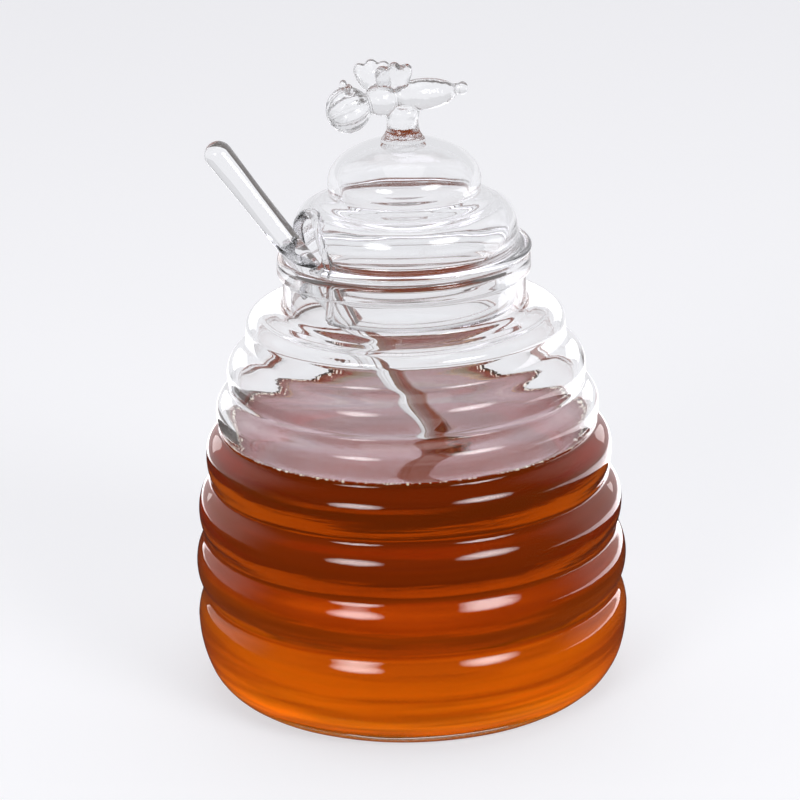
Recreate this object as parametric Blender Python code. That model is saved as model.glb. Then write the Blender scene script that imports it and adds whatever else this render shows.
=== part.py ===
"""A beehive honey pot of clear blown glass: a ringed jar, its notched lid with a bee on top, the honey in it and
a glass dipper that leans on the rim. Metres, +Z up, the middle of the jar's base at the origin."""

import math

import bmesh
import bpy
from mathutils import Matrix, Quaternion, Vector

MM = 0.001

# The jar. Each ring is (radius, height) at its widest, and each crease the same where two rings meet.
RINGS = [(50.0, 16.0), (50.0, 28.7), (49.0, 41.9), (46.7, 55.0), (43.8, 65.6), (40.9, 74.5), (36.2, 85.1)]
CREASES = [(47.3, 22.2), (47.0, 35.6), (45.2, 48.4), (42.8, 60.6), (40.2, 70.2), (36.8, 80.0)]
RING_ARC = math.radians(62)
BASE_RADIUS = 42.5
FLOOR_THICKNESS = 3.0
WALL_AT_RING = 2.2
WALL_AT_CREASE = 1.9
SHOULDER_RADIUS = 31.0
SHOULDER_HEIGHT = 88.7
NECK_RADIUS = 27.7
NECK_WALL = 1.6
LIP_RADIUS = 28.7
LIP_HEIGHT = 4.6
RIM_HEIGHT = 101.4

# The honey.
HONEY_LEVEL = 60.0
GAP = 0.3

# The lid, from its collar up.
COLLAR_RADIUS = 24.6
COLLAR_BOTTOM = 89.5
FLANGE_RADIUS = 28.3
FLANGE_THICKNESS = 1.5
LID_WALL = 1.9
LID_RING_RADIUS = 25.2
LID_RING_HEIGHT = 106.5
LID_SHOULDER_HEIGHT = 113.8
GROOVE_RADIUS = 17.0
GROOVE_HEIGHT = 115.2
GROOVE_THROAT = 13.9
DOME_RADIUS = 17.2
DOME_MIDDLE = 117.8
DOME_RISE = 9.6
DOME_WALL = 2.0
# The loose lid has slid this far towards +X, away from the dipper.
LID_SHIFT = 0.6

# The notch in the lid's side that the dipper leans in.
NOTCH_DIRECTION = math.radians(200)
NOTCH_WIDTH = 20.0
NOTCH_TOP = 112.2
NOTCH_START = 20.5

# The bee and its stem, placed from the stem's axis. The body points along BEE_DIRECTION, tail first.
STEM_RADIUS = 3.7
STEM_FOOT_RADIUS = 5.0
STEM_TOP = 134.6
BEE_DIRECTION = math.radians(17)
BEE_HEIGHT = 136.6
WING_ROOT = (-4.4, 1.2, 1.6)
# Each wing, -1 for the one on the bee's right, leans outwards and sits a little nearer the tail or the head.
WING_LEANS = {-1: math.radians(16), 1: math.radians(30)}
WING_SHIFTS = {-1: 1.8, 1: -1.2}
WING_FAN = math.radians(27)
WING_LOBE = (2.2, 1.25, 3.8)

# The dipper's axis goes through this point at this slope, per unit of height.
DIPPER_THROUGH = Vector((7.3, -11.5, 60.8))
DIPPER_SLOPE = Vector((-0.739, 0.134, 1.0))
DIPPER_END_HEIGHT = 21.5
DIPPER_LENGTH = 133.0
DIPPER_RADIUS = 2.85
DIPPER_TIP_RADIUS = 3.15
DIPPER_RIB_RADII = [6.4, 7.9, 8.6, 8.4, 7.4, 5.8]
DIPPER_RIB_PITCH = 4.6
DIPPER_GROOVE_RADIUS = 4.4

TURN_STEPS = 36
DIPPER_STEPS = 14

GLASS = ((0.93, 0.95, 0.96), 0.03)
HONEY = ((0.62, 0.21, 0.02), 0.10)


def clear_scene():
    for obj in list(bpy.data.objects):
        bpy.data.objects.remove(obj, do_unlink=True)


def see_through_material(name, finish, ior):
    colour, roughness = finish
    material = bpy.data.materials.new(name)
    material.use_nodes = True
    shader = material.node_tree.nodes["Principled BSDF"]
    shader.inputs["Base Color"].default_value = (*colour, 1.0)
    shader.inputs["Roughness"].default_value = roughness
    shader.inputs["Metallic"].default_value = 0.0
    shader.inputs["IOR"].default_value = ior
    shader.inputs["Transmission Weight"].default_value = 1.0
    return material


def arc_points(centre, radii, start, end, count):
    """Points on part of an ellipse, from start up to but not at end, in degrees from +radius towards +height."""
    points = []
    for i in range(count):
        angle = math.radians(start + (end - start) * i / count)
        points.append((centre[0] + radii[0] * math.cos(angle), centre[1] + radii[1] * math.sin(angle)))
    return points


def ring_wave(crests, creases, count):
    """The outline up a ringed wall: a round arc from each crest to the crease over it, and on to the next crest."""
    points = []
    low = math.cos(RING_ARC)
    for index, crest in enumerate(crests):
        legs = []
        if index > 0:
            legs.append((creases[index - 1], False))
        if index < len(creases):
            legs.append((creases[index], True))
        for crease, going_up in legs:
            for i in range(count):
                part = i / count if going_up else 1 - i / count
                angle = RING_ARC * part
                bulge = (math.cos(angle) - low) / (1 - low)
                radius = crease[0] + (crest[0] - crease[0]) * bulge
                height = crest[1] + (crease[1] - crest[1]) * math.sin(angle) / math.sin(RING_ARC)
                points.append((radius, height))
    points.append(crests[-1])
    return points


def inner_rings(inset=0.0):
    crests = [(radius - WALL_AT_RING - inset, height) for radius, height in RINGS]
    creases = [(radius - WALL_AT_CREASE - inset, height) for radius, height in CREASES]
    return crests, creases


def jar_outline():
    """From the middle of the base, up the outside, over the lip and down the inside to the middle of the floor."""
    foot = arc_points((BASE_RADIUS, RINGS[0][1]), (RINGS[0][0] - BASE_RADIUS, RINGS[0][1]), -90, 0, 6)
    outside = ring_wave(RINGS, CREASES, 3)
    top_radius, top_height = RINGS[-1]
    rise = SHOULDER_HEIGHT - top_height
    shoulder = arc_points((SHOULDER_RADIUS, top_height), (top_radius - SHOULDER_RADIUS, rise), 25, 90, 3)
    neck = [
        (SHOULDER_RADIUS - 1.4, SHOULDER_HEIGHT + 0.2),
        (NECK_RADIUS + 0.4, SHOULDER_HEIGHT + 1.0),
        (NECK_RADIUS, SHOULDER_HEIGHT + 2.6),
        (NECK_RADIUS, RIM_HEIGHT - LIP_HEIGHT - 0.8),
        (LIP_RADIUS - 0.15, RIM_HEIGHT - LIP_HEIGHT + 0.4),
        (LIP_RADIUS, RIM_HEIGHT - 2.6),
        (LIP_RADIUS - 0.2, RIM_HEIGHT - 0.6),
        (LIP_RADIUS - 0.8, RIM_HEIGHT),
        (LIP_RADIUS - 1.5, RIM_HEIGHT - 0.2),
        (NECK_RADIUS - NECK_WALL + 0.6, RIM_HEIGHT - 1.0),
        (NECK_RADIUS - NECK_WALL, RIM_HEIGHT - 2.8),
        (NECK_RADIUS - NECK_WALL, SHOULDER_HEIGHT + 1.6),
        (NECK_RADIUS - NECK_WALL + 1.2, SHOULDER_HEIGHT - 1.3),
    ]
    crests, creases = inner_rings()
    inside = ring_wave(crests, creases, 2)[::-1]
    floor_radius = BASE_RADIUS - 2.5
    low_radius, low_height = crests[0]
    bowl = arc_points(
        (floor_radius, low_height), (low_radius - floor_radius, low_height - FLOOR_THICKNESS), -18, -90, 4
    )
    floor = [(floor_radius, FLOOR_THICKNESS), (0.0, FLOOR_THICKNESS)]
    return [(0.0, 0.0)] + foot + outside + shoulder + neck + inside + bowl + floor


def honey_outline():
    """From the middle of the floor, up along the wall to the level, and in to the middle of the surface."""
    crests, creases = inner_rings(GAP)
    floor_radius = BASE_RADIUS - 2.5
    low_radius, low_height = crests[0]
    bottom = FLOOR_THICKNESS + GAP
    bowl = arc_points((floor_radius, low_height), (low_radius - floor_radius, low_height - bottom), -90, 0, 5)
    wall = [point for point in ring_wave(crests, creases, 2) if point[1] < HONEY_LEVEL - 1.0]
    top = [(creases[3][0] + 0.1, HONEY_LEVEL), (0.0, HONEY_LEVEL)]
    return [(0.0, bottom)] + bowl + wall + top


def lid_outline():
    """From the middle of the dome's top, down the outside to the collar, and up the inside to the middle again."""
    seat = RIM_HEIGHT + GAP
    dome = arc_points((0.0, DOME_MIDDLE), (DOME_RADIUS, DOME_RISE), 90, 0, 7)
    outside = [
        (DOME_RADIUS, DOME_MIDDLE),
        (GROOVE_RADIUS, GROOVE_HEIGHT),
        (GROOVE_RADIUS + 0.9, GROOVE_HEIGHT - 0.9),
        (LID_RING_RADIUS - 4.4, LID_SHOULDER_HEIGHT - 0.6),
        (LID_RING_RADIUS - 1.4, LID_SHOULDER_HEIGHT - 2.7),
        (LID_RING_RADIUS - 0.3, LID_SHOULDER_HEIGHT - 5.2),
        (LID_RING_RADIUS, LID_RING_HEIGHT),
        (LID_RING_RADIUS + 0.3, seat + FLANGE_THICKNESS + 0.9),
        (LID_RING_RADIUS + 1.2, seat + FLANGE_THICKNESS + 0.2),
        (FLANGE_RADIUS - 0.4, seat + FLANGE_THICKNESS - 0.1),
        (FLANGE_RADIUS, seat + FLANGE_THICKNESS / 2),
        (FLANGE_RADIUS - 0.4, seat),
        (COLLAR_RADIUS + 0.5, seat),
        (COLLAR_RADIUS + 0.1, seat - 0.8),
        (COLLAR_RADIUS, COLLAR_BOTTOM + 0.6),
        (COLLAR_RADIUS - LID_WALL / 2, COLLAR_BOTTOM),
    ]
    inside = [
        (COLLAR_RADIUS - LID_WALL, COLLAR_BOTTOM + 0.6),
        (COLLAR_RADIUS - LID_WALL, seat + 0.5),
        (LID_RING_RADIUS - LID_WALL, LID_RING_HEIGHT),
        (LID_RING_RADIUS - LID_WALL - 0.5, LID_SHOULDER_HEIGHT - 5.0),
        (LID_RING_RADIUS - LID_WALL - 2.2, LID_SHOULDER_HEIGHT - 3.0),
        (GROOVE_THROAT + 2.4, LID_SHOULDER_HEIGHT - 1.9),
        (GROOVE_THROAT, GROOVE_HEIGHT + 0.2),
        (DOME_RADIUS - DOME_WALL - 0.5, DOME_MIDDLE - 1.2),
    ]
    ceiling = arc_points((0.0, DOME_MIDDLE), (DOME_RADIUS - DOME_WALL, DOME_RISE - DOME_WALL), 0, 90, 5)
    return dome + outside + inside + ceiling + [(0.0, DOME_MIDDLE + DOME_RISE - DOME_WALL)]


def dipper_outline(extra=0.0):
    """From the middle of the ribbed end up to the tip, extra wider all round for the room that it takes up."""
    points = [(0.0, -extra), (2.6 + extra, 0.5 - extra), (DIPPER_GROOVE_RADIUS + extra, 2.0 - extra)]
    for index, radius in enumerate(DIPPER_RIB_RADII):
        middle = 4.0 + index * DIPPER_RIB_PITCH
        points.append((radius + extra - 0.3, middle - 0.9 - extra / 2))
        points.append((radius + extra - 0.3, middle + 0.9 + extra / 2))
        points.append((DIPPER_GROOVE_RADIUS + extra, middle + DIPPER_RIB_PITCH / 2))
    shaft_start = 4.0 + len(DIPPER_RIB_RADII) * DIPPER_RIB_PITCH
    points.append((DIPPER_RADIUS + extra, shaft_start + 1.5))
    points.append((DIPPER_RADIUS + extra, DIPPER_LENGTH - 14.0))
    tip_middle = DIPPER_LENGTH - DIPPER_TIP_RADIUS
    tip = DIPPER_TIP_RADIUS + extra
    return points + arc_points((0.0, tip_middle), (tip, tip), 0, 90, 4) + [(0.0, DIPPER_LENGTH + extra)]


def turned_mesh(name, outline, steps):
    """Spins an outline, given in millimetres, once round the Z axis into a closed mesh with its faces out."""
    bm = bmesh.new()
    corners = [bm.verts.new((radius * MM, 0.0, height * MM)) for radius, height in outline]
    edges = [bm.edges.new(pair) for pair in zip(corners, corners[1:])]
    bmesh.ops.spin(
        bm,
        geom=corners + edges,
        cent=(0.0, 0.0, 0.0),
        axis=(0.0, 0.0, 1.0),
        angle=math.tau,
        steps=steps,
        use_merge=True,
    )
    bmesh.ops.remove_doubles(bm, verts=bm.verts[:], dist=1e-7)
    bmesh.ops.recalc_face_normals(bm, faces=bm.faces[:])
    mesh = bpy.data.meshes.new(name)
    bm.to_mesh(mesh)
    bm.free()
    return mesh


def add_object(name, mesh, material=None):
    obj = bpy.data.objects.new(name, mesh)
    bpy.context.scene.collection.objects.link(obj)
    if material:
        mesh.materials.append(material)
    mesh.shade_smooth()
    mesh.set_sharp_from_angle(angle=math.radians(50))
    return obj


def hide_helper(obj, collection=None):
    obj.hide_render = True
    obj.display_type = "WIRE"
    if collection:
        bpy.context.scene.collection.objects.unlink(obj)
        collection.objects.link(obj)


def cut(obj, cutter):
    modifier = obj.modifiers.new("cut_" + cutter.name, "BOOLEAN")
    modifier.operation = "DIFFERENCE"
    modifier.object = cutter
    modifier.solver = "EXACT"


def make_notch_cutter():
    """An arch, extruded outwards through the lid's side and down through its collar."""
    half = NOTCH_WIDTH / 2
    arch = [(-half, COLLAR_BOTTOM - 2.0), (half, COLLAR_BOTTOM - 2.0)]
    arch += arc_points((0.0, NOTCH_TOP - half), (half, half), 0, 180, 8)
    arch.append((-half, NOTCH_TOP - half))
    bm = bmesh.new()
    front = bm.faces.new([bm.verts.new((NOTCH_START * MM, across * MM, height * MM)) for across, height in arch])
    made = bmesh.ops.extrude_face_region(bm, geom=[front])
    moved = [item for item in made["geom"] if isinstance(item, bmesh.types.BMVert)]
    bmesh.ops.translate(bm, vec=((FLANGE_RADIUS + 4.0 - NOTCH_START) * MM, 0.0, 0.0), verts=moved)
    bmesh.ops.recalc_face_normals(bm, faces=bm.faces[:])
    mesh = bpy.data.meshes.new("notch_cutter")
    bm.to_mesh(mesh)
    bm.free()
    cutter = add_object("notch_cutter", mesh)
    cutter.rotation_euler = (0.0, 0.0, NOTCH_DIRECTION)
    hide_helper(cutter)
    return cutter


def add_blob(name, collection, place, radii, sides=12, rows=8):
    """One drop of glass of the bee: an ellipsoid at a place in the bee's own frame, +X to its tail and +Z up."""
    bm = bmesh.new()
    bmesh.ops.create_uvsphere(bm, u_segments=sides, v_segments=rows, radius=1.0)
    bm.transform(place @ Matrix.Diagonal([value * MM for value in radii] + [1.0]))
    mesh = bpy.data.meshes.new(name)
    bm.to_mesh(mesh)
    bm.free()
    blob = add_object(name, mesh)
    blob.location = (LID_SHIFT * MM, 0.0, BEE_HEIGHT * MM)
    blob.rotation_euler = (0.0, 0.0, BEE_DIRECTION)
    hide_helper(blob, collection)


def moved_to(x, y, z):
    return Matrix.Translation((x * MM, y * MM, z * MM))


def add_wing(collection, side):
    """Three long lobes that fan out from a root on the thorax, in a plane that leans to its own side."""
    root_x, root_y, root_z = WING_ROOT
    root = moved_to(root_x + WING_SHIFTS[side], side * root_y, root_z)
    root = root @ Matrix.Rotation(-side * WING_LEANS[side], 4, "X")
    for lobe in (-1, 0, 1):
        place = root @ Matrix.Rotation(lobe * WING_FAN, 4, "Y") @ moved_to(0.0, 0.0, WING_LOBE[2])
        add_blob("wing_%d_%d" % (side > 0, lobe + 1), collection, place, WING_LOBE, sides=10, rows=7)


def make_bee(collection):
    """The stem and the bee, as drops that the lid's union fuses: head, thorax, abdomen, feelers and two wings."""
    dome_top = DOME_MIDDLE + DOME_RISE
    stem = [(0.0, dome_top - 1.0), (STEM_FOOT_RADIUS + 1.0, dome_top - 1.0)]
    stem += [(STEM_FOOT_RADIUS, dome_top - 0.2), (STEM_RADIUS, dome_top + 1.6)]
    stem += [(STEM_RADIUS, STEM_TOP - 1.0), (STEM_RADIUS - 0.5, STEM_TOP), (0.0, STEM_TOP)]
    column = add_object("stem", turned_mesh("stem", stem, 20))
    column.location.x = LID_SHIFT * MM
    hide_helper(column, collection)
    add_blob("abdomen", collection, moved_to(4.6, 0.0, 0.3), (8.3, 3.8, 3.6), sides=14)
    add_blob("tail", collection, moved_to(12.5, 0.0, 0.7), (2.4, 1.3, 1.3), sides=8, rows=6)
    add_blob("thorax", collection, moved_to(-4.8, 0.0, -0.1), (3.6, 3.6, 3.6))
    add_blob("head", collection, moved_to(-12.4, 0.0, -1.7), (5.1, 4.6, 5.0), sides=16, rows=10)
    for side in (-1, 1):
        feeler = moved_to(-12.8, side * 2.2, 3.2)
        add_blob("feeler_%d" % (side > 0), collection, feeler, (0.9, 0.9, 1.5), sides=8, rows=6)
        add_wing(collection, side)


def fuse_collection(obj, collection):
    """Joins every shape of the collection to the object with one union, applies it and removes the shapes."""
    modifier = obj.modifiers.new("fused_bee", "BOOLEAN")
    modifier.operation = "UNION"
    modifier.operand_type = "COLLECTION"
    modifier.collection = collection
    modifier.solver = "EXACT"
    bpy.context.view_layer.update()
    graph = bpy.context.evaluated_depsgraph_get()
    obj.data = bpy.data.meshes.new_from_object(obj.evaluated_get(graph))
    obj.modifiers.clear()
    for shape in list(collection.objects):
        bpy.data.objects.remove(shape, do_unlink=True)
    bpy.data.collections.remove(collection)


def lay_dipper(obj):
    """Puts a dipper that stands on its ribbed end along the slanting axis."""
    drop = DIPPER_THROUGH.z - DIPPER_END_HEIGHT
    end = DIPPER_THROUGH - DIPPER_SLOPE * drop
    obj.rotation_mode = "QUATERNION"
    obj.rotation_quaternion = Quaternion(Vector((0.0, 0.0, 1.0)).rotation_difference(DIPPER_SLOPE.normalized()))
    obj.location = end * MM


def make_pot():
    clear_scene()
    pot = bpy.data.objects.new("honey_pot", None)
    bpy.context.scene.collection.objects.link(pot)

    clear_glass = see_through_material("clear_glass", GLASS, 1.47)
    golden_honey = see_through_material("honey", HONEY, 1.49)

    jar = add_object("jar", turned_mesh("jar", jar_outline(), TURN_STEPS), clear_glass)

    dipper = add_object("dipper", turned_mesh("dipper", dipper_outline(), DIPPER_STEPS), clear_glass)
    lay_dipper(dipper)

    room = add_object("dipper_room", turned_mesh("dipper_room", dipper_outline(GAP), DIPPER_STEPS))
    lay_dipper(room)
    hide_helper(room)
    honey = add_object("honey", turned_mesh("honey", honey_outline(), TURN_STEPS), golden_honey)
    cut(honey, room)

    lid = add_object("lid", turned_mesh("lid", lid_outline(), TURN_STEPS), clear_glass)
    lid.location.x = LID_SHIFT * MM
    notch_cutter = make_notch_cutter()
    cut(lid, notch_cutter)
    bee_shapes = bpy.data.collections.new("bee_shapes")
    bpy.context.scene.collection.children.link(bee_shapes)
    make_bee(bee_shapes)
    fuse_collection(lid, bee_shapes)
    bpy.data.objects.remove(notch_cutter, do_unlink=True)

    for obj in (jar, honey, lid, dipper):
        obj.parent = pot


make_pot()
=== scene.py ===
# %% [markdown]
# # A beehive honey pot in clear glass
#
# The real object is a jar of clear blown glass in seven soft rings, like an old straw beehive. A loose
# glass lid with a bee on top sits in its neck, and a glass dipper leans out through a notch in the lid.
# The jar is a bit over half full of honey. Nearly everything here is see-through, so the shape has to be
# right inside as well as outside: what the eye reads as glass is light bent by both faces of a thin wall.
#
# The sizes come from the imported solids, which stay where they are. Each glass piece is then made again
# here, finer and rounder, and stands in for its solid.

import math
import random

import bmesh
import bpy
import numpy as np
from mathutils import Matrix, Vector, noise


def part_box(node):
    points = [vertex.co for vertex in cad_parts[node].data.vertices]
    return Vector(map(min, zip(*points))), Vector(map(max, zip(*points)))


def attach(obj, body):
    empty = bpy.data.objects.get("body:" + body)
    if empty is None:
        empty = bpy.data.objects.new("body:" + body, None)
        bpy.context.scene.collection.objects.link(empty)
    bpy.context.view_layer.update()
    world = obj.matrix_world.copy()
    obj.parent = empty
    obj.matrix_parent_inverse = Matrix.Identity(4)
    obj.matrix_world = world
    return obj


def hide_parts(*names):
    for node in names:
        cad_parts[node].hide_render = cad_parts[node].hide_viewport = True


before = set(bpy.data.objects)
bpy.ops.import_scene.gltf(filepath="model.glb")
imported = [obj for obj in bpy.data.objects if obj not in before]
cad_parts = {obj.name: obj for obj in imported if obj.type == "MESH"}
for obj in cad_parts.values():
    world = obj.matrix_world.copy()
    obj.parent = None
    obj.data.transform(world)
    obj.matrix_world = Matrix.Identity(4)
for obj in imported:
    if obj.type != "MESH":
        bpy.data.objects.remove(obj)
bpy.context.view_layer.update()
MM = 0.001
print("nodes:", sorted(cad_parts))

# %% [markdown]
# ## Sizes
#
# A maker would note a few sizes before heating any glass: how wide, how high, how thick. The rim's height,
# the honey's level and the lower edge of the lid are read from the solids, so this script follows them if
# they change. The rings are written as a radius and a height in millimetres, at the crest and at the
# crease, because that is how one would measure a real jar with a calliper. The solid's radius is printed
# beside the widest crest, and the two should be the same.

# %% Sizes of the jar and the lid
jar_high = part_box("jar")[1]
honey_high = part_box("honey")[1]
lid_low, lid_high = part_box("lid")
RIM_HEIGHT = jar_high[2] / MM
HONEY_LEVEL = honey_high[2] / MM

CRESTS = [
    (50.0, 16.0),
    (50.0, 28.7),
    (49.0, 41.9),
    (46.7, 55.0),
    (43.8, 65.6),
    (40.9, 74.5),
    (36.2, 85.1),
]
CREASES = [(47.3, 22.2), (47.0, 35.6), (45.2, 48.4), (42.8, 60.6), (40.2, 70.2), (36.8, 80.0)]
RING_ARC = math.radians(62)
BASE_RADIUS = 42.5
FLOOR_THICKNESS = 3.0
WALL = 2.0
SHOULDER_RADIUS = 31.0
SHOULDER_HEIGHT = 88.7
NECK_RADIUS = 27.7
NECK_WALL = 1.6
LIP_RADIUS = 28.7
LIP_HEIGHT = 4.6

LID_OFF_CENTRE = (0.6, (lid_low[1] + lid_high[1]) / 2 / MM)
print("the solid's radius %.1f mm, the widest crest %.1f mm" % (jar_high[0] / MM, CRESTS[0][0]))
print("rim at %.1f mm, honey up to %.1f mm" % (RIM_HEIGHT, HONEY_LEVEL))

# %% [markdown]
# ## A line turned into a vessel
#
# A glass jar is round because it was turned while it was soft. The same idea works here: draw half of the
# outline as a list of points, radius against height, and spin it once round the Z axis. An outline that
# runs up the outside, over the lip and down the inside gives a wall with a real thickness, which glass
# needs. A smooth curve through the points keeps the list short, and the curve bends instead of breaking
# at each point.

# %% Helpers for outlines
SEAM_WELD = 1e-7


def arc(centre, radii, start, end, count):
    """Points on part of an ellipse, from start up to but not at end, in degrees up from +radius."""
    turns = [math.radians(start + (end - start) * i / count) for i in range(count)]
    return [(centre[0] + radii[0] * math.cos(t), centre[1] + radii[1] * math.sin(t)) for t in turns]


def smooth_line(points, steps):
    """A round curve through all the points, with so many short steps from each one to the next."""
    line = []
    padded = [points[0]] + list(points) + [points[-1]]
    for before, start, end, after in zip(padded, padded[1:], padded[2:], padded[3:]):
        for i in range(steps):
            t = i / steps
            weights = (
                (-t + 2 * t**2 - t**3) / 2,
                (2 - 5 * t**2 + 3 * t**3) / 2,
                (t + 4 * t**2 - 3 * t**3) / 2,
                (-(t**2) + t**3) / 2,
            )
            four = (before, start, end, after)
            line.append(tuple(sum(w * p[k] for w, p in zip(weights, four)) for k in (0, 1)))
    return line + [points[-1]]


def turned_mesh(name, outline, steps):
    """Spins an outline, in millimetres, once round the Z axis into a closed mesh with its faces out."""
    bm = bmesh.new()
    corners = [bm.verts.new((max(radius, 0.0) * MM, 0.0, height * MM)) for radius, height in outline]
    edges = [bm.edges.new(pair) for pair in zip(corners, corners[1:])]
    bmesh.ops.spin(
        bm,
        geom=corners + edges,
        cent=(0.0, 0.0, 0.0),
        axis=(0.0, 0.0, 1.0),
        angle=math.tau,
        steps=steps,
        use_merge=True,
    )
    bmesh.ops.remove_doubles(bm, verts=bm.verts[:], dist=SEAM_WELD)
    bmesh.ops.recalc_face_normals(bm, faces=bm.faces[:])
    mesh = bpy.data.meshes.new(name)
    bm.to_mesh(mesh)
    bm.free()
    return mesh


def add_piece(name, mesh):
    piece = bpy.data.objects.new(name, mesh)
    bpy.context.scene.collection.objects.link(piece)
    mesh.shade_smooth()
    return piece


def bake_modifiers(piece):
    """Keeps what the modifiers made as the piece's own mesh."""
    bpy.context.view_layer.update()
    graph = bpy.context.evaluated_depsgraph_get()
    mesh = bpy.data.meshes.new_from_object(piece.evaluated_get(graph))
    piece.modifiers.clear()
    piece.data = mesh


trial = smooth_line([(0.0, 0.0), (1.0, 1.0), (2.0, 0.0)], 4)
print("a curve through 3 points, with 4 steps between them, has", len(trial), "points")

# %% [markdown]
# ## The jar's outline
#
# Each ring of the jar is a round belly between two tight creases. A cosine gives the belly its roundness,
# and it is stretched so that it starts at a crest and ends exactly at the crease. The inside follows the
# outside, a wall's thickness in. The lip is a thick bead, because the edge of a blown jar is melted round
# in the flame.

# %% Ringed wall
def ring_wave(crests, creases, count):
    """The outline up a ringed wall: an arc from each crest to the crease over it, and on to the next."""
    points = []
    low = math.cos(RING_ARC)
    for index, crest in enumerate(crests):
        legs = []
        if index > 0:
            legs.append((creases[index - 1], False))
        if index < len(creases):
            legs.append((creases[index], True))
        for crease, going_up in legs:
            for i in range(count):
                part = i / count if going_up else 1 - i / count
                angle = RING_ARC * part
                bulge = (math.cos(angle) - low) / (1 - low)
                radius = crease[0] + (crest[0] - crease[0]) * bulge
                height = crest[1] + (crease[1] - crest[1]) * math.sin(angle) / math.sin(RING_ARC)
                points.append((radius, height))
    return points + [crests[-1]]


def softened(points, rounds):
    """Rounds off the creases: each point moves to the middle of its neighbours, a few times over."""
    for _ in range(rounds):
        middle = [
            tuple(a / 4 + b / 2 + c / 4 for a, b, c in zip(before, point, after))
            for before, point, after in zip(points, points[1:], points[2:])
        ]
        points = points[:1] + middle + points[-1:]
    return points


def set_in(points, depth):
    """The same line moved inwards by a wall's thickness, square to itself."""
    line = []
    for index, point in enumerate(points):
        before, after = points[max(index - 1, 0)], points[min(index + 1, len(points) - 1)]
        run = math.hypot(after[0] - before[0], after[1] - before[1])
        across = ((after[1] - before[1]) / run, -(after[0] - before[0]) / run)
        line.append((point[0] - across[0] * depth, point[1] - across[1] * depth))
    return line


def bowl_line(depth, count):
    """The rounded corner from the floor to the lowest ring, this far in from the outside."""
    low_radius, low_height = CRESTS[0]
    edge = BASE_RADIUS - 2.5
    bottom = FLOOR_THICKNESS + depth - WALL
    return arc((edge, low_height), (low_radius - depth - edge, low_height - bottom), -90, 0, count)


RING_POINTS = 9
CREASE_SOFTNESS = 6

outer_wall = softened(ring_wave(CRESTS, CREASES, RING_POINTS), CREASE_SOFTNESS)
inner_wall = set_in(outer_wall, WALL)
print("%d points up the outside, %d down the inside" % (len(outer_wall), len(inner_wall)))

# %% [markdown]
# ## Foot, neck and lip
#
# The foot rolls over into the flat that the jar stands on. The last ring rolls over into a shoulder, and
# from there the neck rises to a lip that is thicker than the wall. Its underside is tucked in sharply,
# and that small step shows as a dark line round the neck. One could model the neck as a piece of its own,
# but glass that is cut in two shows the cut, so the whole jar is one outline and one skin.

# %% Whole outline of the jar
TURN_STEPS = 144


def jar_outline():
    foot = arc((BASE_RADIUS, CRESTS[0][1]), (CRESTS[0][0] - BASE_RADIUS, CRESTS[0][1]), -90, 0, 14)
    top_radius, top_height = CRESTS[-1]
    shoulder_size = (top_radius - SHOULDER_RADIUS, SHOULDER_HEIGHT - top_height)
    shoulder = arc((SHOULDER_RADIUS, top_height), shoulder_size, 8, 84, 8)
    neck = smooth_line(
        [
            (SHOULDER_RADIUS - 0.4, SHOULDER_HEIGHT),
            (NECK_RADIUS + 1.4, SHOULDER_HEIGHT + 0.4),
            (NECK_RADIUS + 0.3, SHOULDER_HEIGHT + 1.2),
            (NECK_RADIUS, SHOULDER_HEIGHT + 2.8),
            (NECK_RADIUS - 0.15, RIM_HEIGHT - LIP_HEIGHT - 1.2),
            (NECK_RADIUS - 0.05, RIM_HEIGHT - LIP_HEIGHT - 0.1),
            (NECK_RADIUS + 0.35, RIM_HEIGHT - LIP_HEIGHT),
            (LIP_RADIUS - 0.1, RIM_HEIGHT - LIP_HEIGHT + 0.5),
            (LIP_RADIUS, RIM_HEIGHT - LIP_HEIGHT + 1.3),
            (LIP_RADIUS, RIM_HEIGHT - 2.2),
            (LIP_RADIUS - 0.25, RIM_HEIGHT - 0.7),
            (LIP_RADIUS - 1.1, RIM_HEIGHT),
            (LIP_RADIUS - 2.0, RIM_HEIGHT - 0.45),
            (NECK_RADIUS - NECK_WALL + 0.1, RIM_HEIGHT - 1.7),
            (NECK_RADIUS - NECK_WALL, RIM_HEIGHT - 3.2),
            (NECK_RADIUS - NECK_WALL, SHOULDER_HEIGHT + 2.6),
            (NECK_RADIUS - NECK_WALL + 0.3, SHOULDER_HEIGHT + 0.3),
            (NECK_RADIUS - NECK_WALL + 1.4, SHOULDER_HEIGHT - 1.2),
            (SHOULDER_RADIUS - 1.2, SHOULDER_HEIGHT - 1.9),
            (inner_wall[-1][0] - 1.6, inner_wall[-1][1] + 1.2),
        ],
        5,
    )
    bowl = bowl_line(WALL, 12)[::-1]
    return (
        [(0.0, 0.0), (14.0, 0.0), (28.0, 0.0)]
        + foot
        + outer_wall[:-1]
        + shoulder
        + neck
        + inner_wall[::-1]
        + bowl
        + [(26.0, FLOOR_THICKNESS), (13.0, FLOOR_THICKNESS), (0.0, FLOOR_THICKNESS)]
    )


jar = add_piece("glass_jar", turned_mesh("glass_jar", jar_outline(), TURN_STEPS))
print("jar:", len(jar.data.polygons), "faces")

# %% [markdown]
# ## Hand-blown unevenness
#
# A jar that is blown into a mould is never quite true. The wall drifts in and out by a tenth of a
# millimetre, in long slow waves. It can't be seen in the outline, but it makes every reflection waver.
# The same slow noise moves each face of the wall by its own amount, so that the glass bends what is
# behind it a little differently all over.

# %% Slow waves in the wall
JAR_WAVER = 0.16
LID_WAVER = 0.12
ROD_WAVER = 0.05
STILL_RADIUS = 2.0
FADE_IN = 8.0
LONGER_UPWARDS = 0.6


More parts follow.
